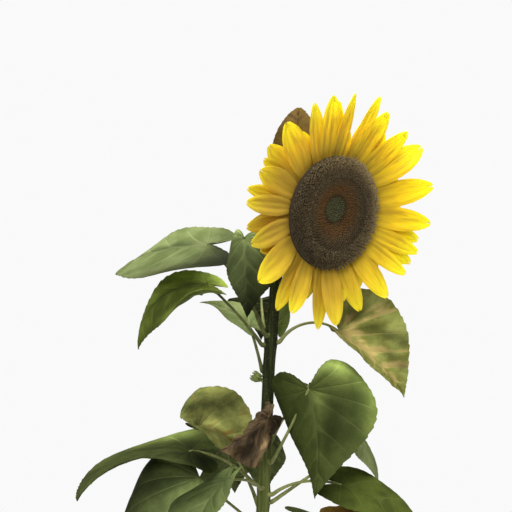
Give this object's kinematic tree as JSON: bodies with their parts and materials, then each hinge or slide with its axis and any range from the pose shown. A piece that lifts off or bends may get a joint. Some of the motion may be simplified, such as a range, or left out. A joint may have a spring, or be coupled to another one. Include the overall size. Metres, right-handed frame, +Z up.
{
  "type": "sunflower plant",
  "caption": "Tall sunflower plant in flower: straight tapering stem, broad drooping heart-shaped leaves on stalks, and a nodding head of yellow ray petals round a brown disc.",
  "frame": {"origin": "middle of the stem's flat cut at ground level", "axes": "+Z up along the stem; the flower head looks towards -Y and +X and a little down"},
  "size_m": [0.4651, 0.4351, 1.438],
  "materials": {
    "stem": "matt green, ridged, with stiff pale hairs",
    "bract": "matt green, hairy",
    "petal": "silky yellow with fine lengthwise lines",
    "disc": "matt brown florets in crossing spirals",
    "leaf_green": "matt mid green with pale veins",
    "leaf_dark": "matt dark green with pale veins",
    "leaf_grey": "matt grey green, downy",
    "leaf_yellowing": "matt yellow green with brown streaks",
    "leaf_tan": "dry tan with olive and brown patches",
    "leaf_brown": "dry brown, wrinkled"
  },
  "bodies": {
    "root": {"stem": "stem", "side_bud": "bract", "neck": "stem", "receptacle": "bract", "ray_petals": "petal", "disc": "disc", "leaf_behind_head": "leaf_brown", "leaf_top_left": "leaf_green", "leaf_under_head": "leaf_dark", "leaf_tan_right": "leaf_tan", "leaf_arched_left": "leaf_dark", "leaf_small_right": "leaf_green", "leaf_small_left": "leaf_green", "leaf_withered": "leaf_brown", "leaf_yellowing": "leaf_yellowing", "leaf_front_right": "leaf_green", "leaf_long_left": "leaf_green", "leaf_grey_front": "leaf_grey", "leaf_behind_stem": "leaf_dark", "leaf_low_right": "leaf_dark", "leaf_pale_right": "leaf_green", "leaf_broad_left": "leaf_dark", "leaf_brown_low": "leaf_brown", "leaf_back_high": "leaf_green", "leaf_back_left": "leaf_dark", "leaf_back_right": "leaf_dark", "leaf_back_mid": "leaf_dark", "leaf_lower_01": "leaf_green", "leaf_lower_02": "leaf_dark", "leaf_lower_03": "leaf_dark", "leaf_lower_04": "leaf_green", "leaf_lower_05": "leaf_dark", "leaf_lower_06": "leaf_dark", "leaf_lower_07": "leaf_green", "leaf_lower_08": "leaf_yellowing", "leaf_lower_09": "leaf_dark", "leaf_lower_10": "leaf_yellowing", "leaf_lower_11": "leaf_tan", "leaf_lower_12": "leaf_tan", "leaf_lower_13": "leaf_brown", "leaf_lower_14": "leaf_brown"}
  },
  "joints": []
}
